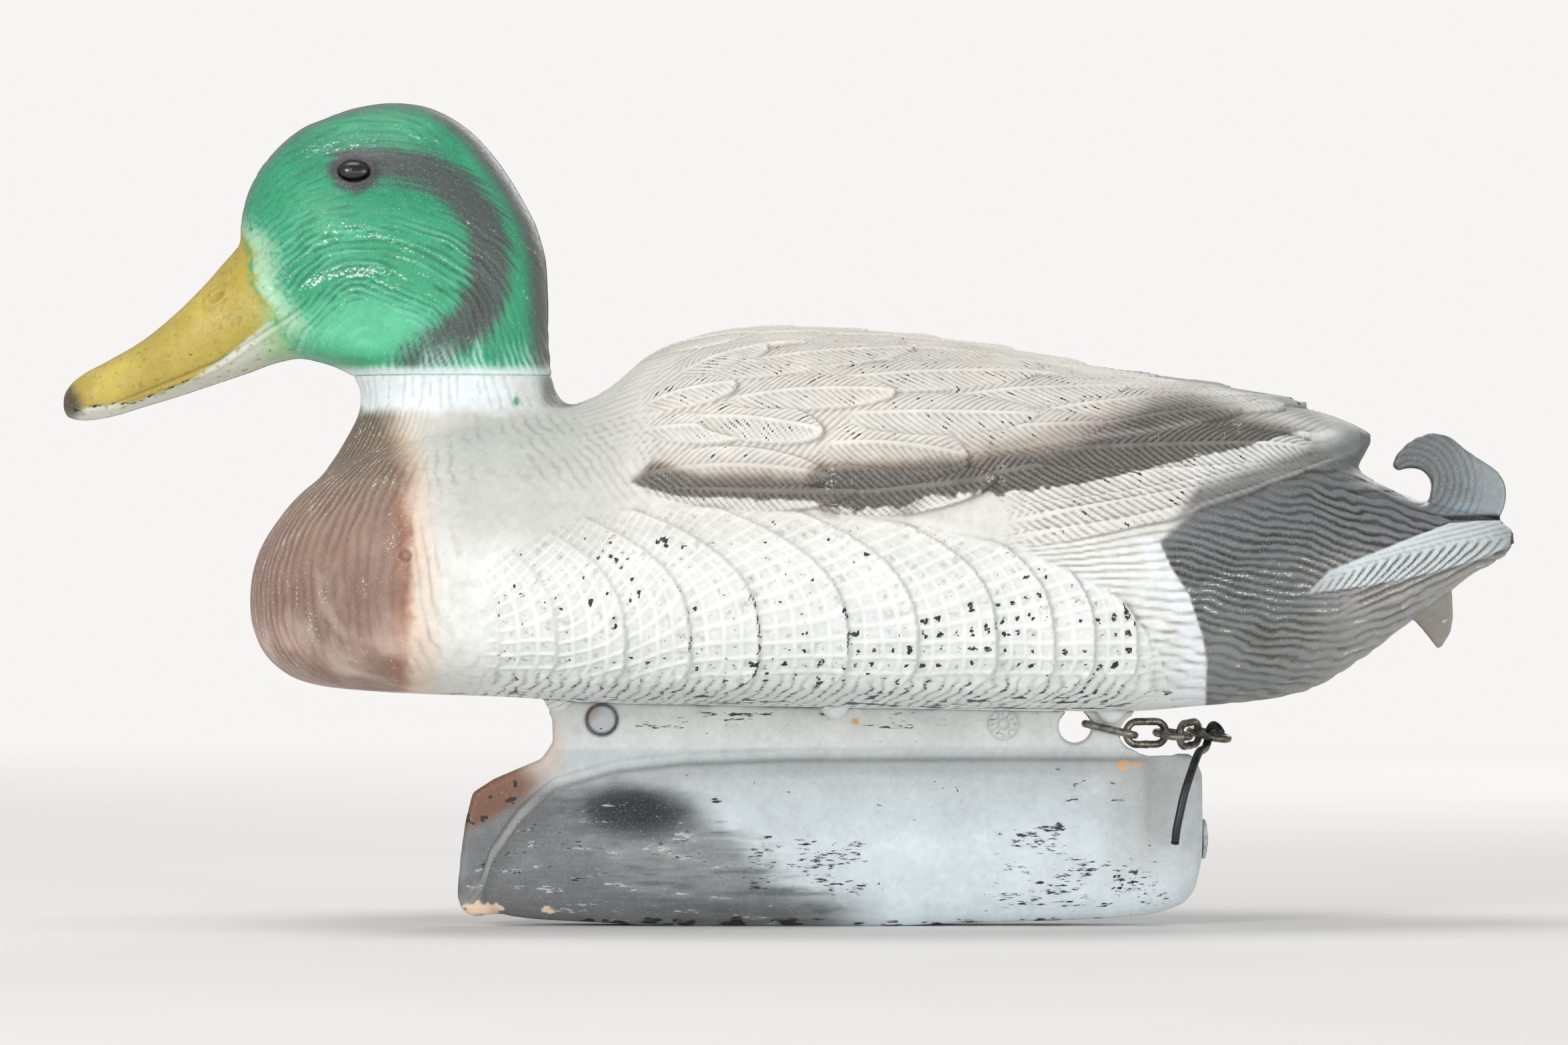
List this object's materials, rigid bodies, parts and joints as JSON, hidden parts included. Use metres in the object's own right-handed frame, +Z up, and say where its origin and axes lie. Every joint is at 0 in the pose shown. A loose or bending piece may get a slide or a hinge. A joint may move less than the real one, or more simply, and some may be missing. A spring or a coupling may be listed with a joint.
{
  "type": "floating duck decoy",
  "caption": "Hollow moulded drake mallard decoy with a ballasted fin keel, a short wire-link anchor chain through the keel flange and a stub of line.",
  "frame": {"origin": "on the plane of symmetry, halfway between bill tip and tail tip, at the level of the keel's flat bottom", "axes": "+X towards the tail, +Y towards the decoy's right side, +Z up"},
  "size_m": [0.4202, 0.165, 0.2384],
  "materials": {
    "body_paint": "worn flat paint over black plastic",
    "head_paint": "satin green paint",
    "eye": "gloss black",
    "keel_paint": "worn flat paint over black plastic",
    "ballast": "set mortar",
    "plug": "moulded black",
    "chain_steel": "dull, tarnished",
    "line": "black round line"
  },
  "bodies": {
    "decoy": {"body_shell": "body_paint", "head_shell": "head_paint", "eye_left": "eye", "eye_right": "eye", "keel_shell": "keel_paint", "keel_ballast": "ballast", "keel_fill_plug": "plug"},
    "link_1": {"chain_link_1": "chain_steel"},
    "link_2": {"chain_link_2": "chain_steel"},
    "link_3": {"chain_link_3": "chain_steel"},
    "link_4": {"chain_link_4": "chain_steel"},
    "link_5": {"chain_link_5": "chain_steel", "anchor_line_stub": "line"}
  },
  "joints": [
    {"name": "chain_swing", "type": "hinge", "parent": "decoy", "child": "link_1", "pos_m": [0.0861, 0, 0.0584], "axis": [0, 1, 0], "range_deg": [-2, 1]},
    {"name": "link_2_turn", "type": "hinge", "parent": "link_1", "child": "link_2", "pos_m": [0.09809, 0, 0.05563], "axis": [0, 0, 1], "range_deg": [-45, 0]},
    {"name": "link_3_turn", "type": "hinge", "parent": "link_2", "child": "link_3", "pos_m": [0.10974, 0.00424, 0.05563], "axis": [0, 0, 1], "range_deg": [0, 75]},
    {"name": "link_4_turn", "type": "hinge", "parent": "link_3", "child": "link_4", "pos_m": [0.11342, -0.00213, 0.05486], "axis": [0, 0, 1], "range_deg": [0, 12]},
    {"name": "link_5_turn", "type": "hinge", "parent": "link_4", "child": "link_5", "pos_m": [0.1196, 0.00858, 0.05572], "axis": [0, 0, 1], "range_deg": [0, 45]}
  ]
}
